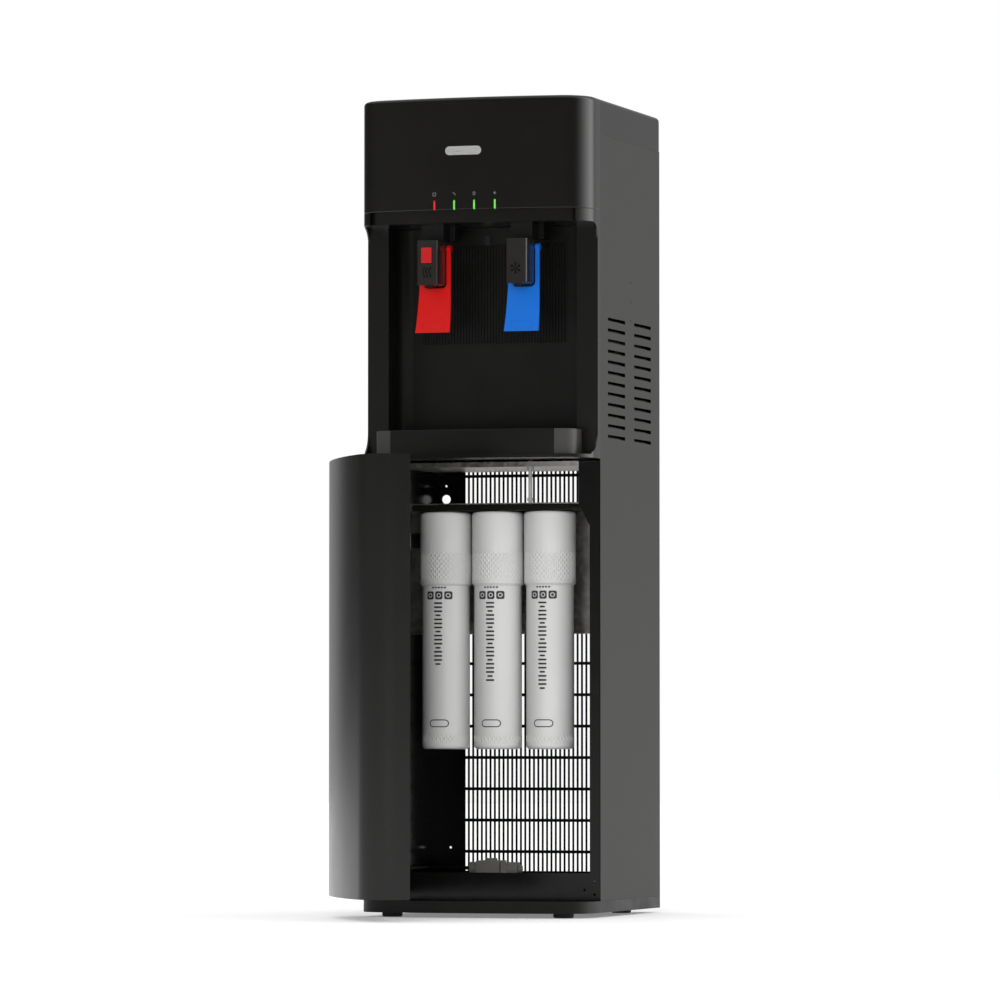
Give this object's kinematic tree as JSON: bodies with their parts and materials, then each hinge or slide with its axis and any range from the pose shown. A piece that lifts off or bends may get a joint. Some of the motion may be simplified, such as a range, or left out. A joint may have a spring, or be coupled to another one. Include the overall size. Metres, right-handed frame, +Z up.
{
  "type": "floor-standing water dispenser",
  "caption": "Tall bottleless water dispenser: bowed display housing, open recess with hot and cold lever taps over a drip tray, and a hinged door on a bay of twist-out filter cartridges.",
  "frame": {"origin": "on the floor, in the middle of the cabinet's width, under the front edge of its side sheets", "axes": "+X to the right seen from the front, +Y to the back, +Z up"},
  "size_m": [0.3448, 0.568, 1.04],
  "materials": {
    "gloss_black": "high gloss moulded plastic",
    "satin_black": "fine satin moulded plastic",
    "panel_grey": "satin powder coat",
    "frame_black": "semi-gloss powder coat",
    "zinc_steel": "zinc plated sheet",
    "pin_steel": "turned steel",
    "tap_charcoal": "semi-gloss moulded plastic",
    "lever_red": "glossy moulded plastic",
    "lever_blue": "glossy moulded plastic",
    "button_red": "glossy moulded plastic",
    "filter_white": "pearl satin plastic",
    "collar_white": "satin plastic",
    "lamp_green": "clear tinted lens",
    "lamp_clear": "clear smoked lens",
    "badge_silver": "satin",
    "foot_rubber": "matt",
    "tube_white": "translucent tube",
    "magnet_grey": "matt",
    "compressor_black": "gloss enamel",
    "tank_foam": "moulded foam",
    "tank_steel": "foil faced insulation",
    "board_green": "solder mask",
    "valve_grey": "moulded plastic",
    "label_ink": "printed ink",
    "lamp_red": "clear tinted lens"
  },
  "bodies": {
    "cabinet": {"base_pan": "satin_black", "foot_front_left": "foot_rubber", "foot_front_right": "foot_rubber", "foot_rear_left": "foot_rubber", "foot_rear_right": "foot_rubber", "left_side_panel": "panel_grey", "right_side_panel": "panel_grey", "front_frame": "frame_black", "cabinet_floor": "frame_black", "divider_shelf": "zinc_steel", "back_grille": "frame_black", "grille_rails": "frame_black", "upper_back_panel": "panel_grey", "top_cover": "panel_grey", "display_housing": "gloss_black", "indicator_lights": "lamp_green", "front_badge": "badge_silver", "recess_frame": "gloss_black", "recess_liner": "satin_black", "fluted_panel": "satin_black", "night_light": "lamp_clear", "hot_tap_mount": "satin_black", "cold_tap_mount": "satin_black", "hot_tap_body": "tap_charcoal", "cold_tap_body": "tap_charcoal", "hot_spout": "satin_black", "cold_spout": "satin_black", "hot_lever_pin": "pin_steel", "cold_lever_pin": "pin_steel", "hinge_top": "zinc_steel", "hinge_bottom": "zinc_steel", "latch_plate": "frame_black", "filter_bracket": "zinc_steel", "manifold": "satin_black", "inlet_valve": "valve_grey", "supply_tube": "satin_black", "outlet_tube": "tube_white", "compressor": "compressor_black", "condenser": "frame_black", "hot_tank": "tank_steel", "cold_tank": "tank_foam", "tank_bracket": "zinc_steel", "control_board": "board_green", "power_inlet": "satin_black", "switch_bezel": "satin_black", "water_inlet": "collar_white"},
    "door": {"door": "gloss_black", "door_magnet": "magnet_grey"},
    "hot_lever": {"hot_lever": "lever_red"},
    "cold_lever": {"cold_lever": "lever_blue"},
    "child_lock": {"child_lock_button": "button_red"},
    "drip_tray": {"drip_tray": "gloss_black"},
    "drip_grille": {"drip_grille": "gloss_black"},
    "heater_switch": {"hot_switch": "button_red"},
    "collar_1": {"collar_1": "collar_white"},
    "cartridge_1": {"cartridge_1": "filter_white"},
    "collar_2": {"collar_2": "collar_white"},
    "cartridge_2": {"cartridge_2": "filter_white"},
    "collar_3": {"collar_3": "collar_white"},
    "cartridge_3": {"cartridge_3": "filter_white"}
  },
  "joints": [
    {"name": "door_hinge", "type": "hinge", "parent": "cabinet", "child": "door", "pos_m": [-0.1545, -0.0035, 0.303], "axis": [0, 0, 1], "range_deg": [-48, 62]},
    {"name": "hot_lever_press", "type": "hinge", "parent": "cabinet", "child": "hot_lever", "pos_m": [-0.0593, -0.02, 0.851], "axis": [1, 0, 0], "range_deg": [0, 12], "stiffness_Nm_per_rad": 0.4, "springref_deg": -5.73},
    {"name": "cold_lever_press", "type": "hinge", "parent": "cabinet", "child": "cold_lever", "pos_m": [0.0593, -0.02, 0.851], "axis": [1, 0, 0], "range_deg": [0, 12], "stiffness_Nm_per_rad": 0.4, "springref_deg": -5.73},
    {"name": "child_lock_press", "type": "slide", "parent": "cabinet", "child": "child_lock", "axis": [0, 1, 0], "range_m": [0, 0.0025], "stiffness_N_per_m": 400, "springref_m": -0.001},
    {"name": "drip_tray_slide", "type": "slide", "parent": "cabinet", "child": "drip_tray", "axis": [0, -1, 0], "range_m": [0, 0.09]},
    {"name": "drip_grille_lift", "type": "slide", "parent": "drip_tray", "child": "drip_grille", "axis": [0, 0, 1], "range_m": [0, 0.04]},
    {"name": "filter_1_twist", "type": "hinge", "parent": "cabinet", "child": "collar_1", "pos_m": [-0.07, 0.055, 0.517], "axis": [0, 0, 1], "range_deg": [-90, 0]},
    {"name": "filter_1_pull", "type": "slide", "parent": "collar_1", "child": "cartridge_1", "axis": [0, 0, -1], "range_m": [0, 0.04]},
    {"name": "filter_2_twist", "type": "hinge", "parent": "cabinet", "child": "collar_2", "pos_m": [0, 0.055, 0.517], "axis": [0, 0, 1], "range_deg": [-90, 0]},
    {"name": "filter_2_pull", "type": "slide", "parent": "collar_2", "child": "cartridge_2", "axis": [0, 0, -1], "range_m": [0, 0.04]},
    {"name": "filter_3_twist", "type": "hinge", "parent": "cabinet", "child": "collar_3", "pos_m": [0.07, 0.055, 0.517], "axis": [0, 0, 1], "range_deg": [-90, 0]},
    {"name": "filter_3_pull", "type": "slide", "parent": "collar_3", "child": "cartridge_3", "axis": [0, 0, -1], "range_m": [0, 0.04]},
    {"name": "heater_switch_rock", "type": "hinge", "parent": "cabinet", "child": "heater_switch", "pos_m": [0.02, 0.2661, 0.6295], "axis": [1, 0, 0], "range_deg": [0, 16]}
  ]
}
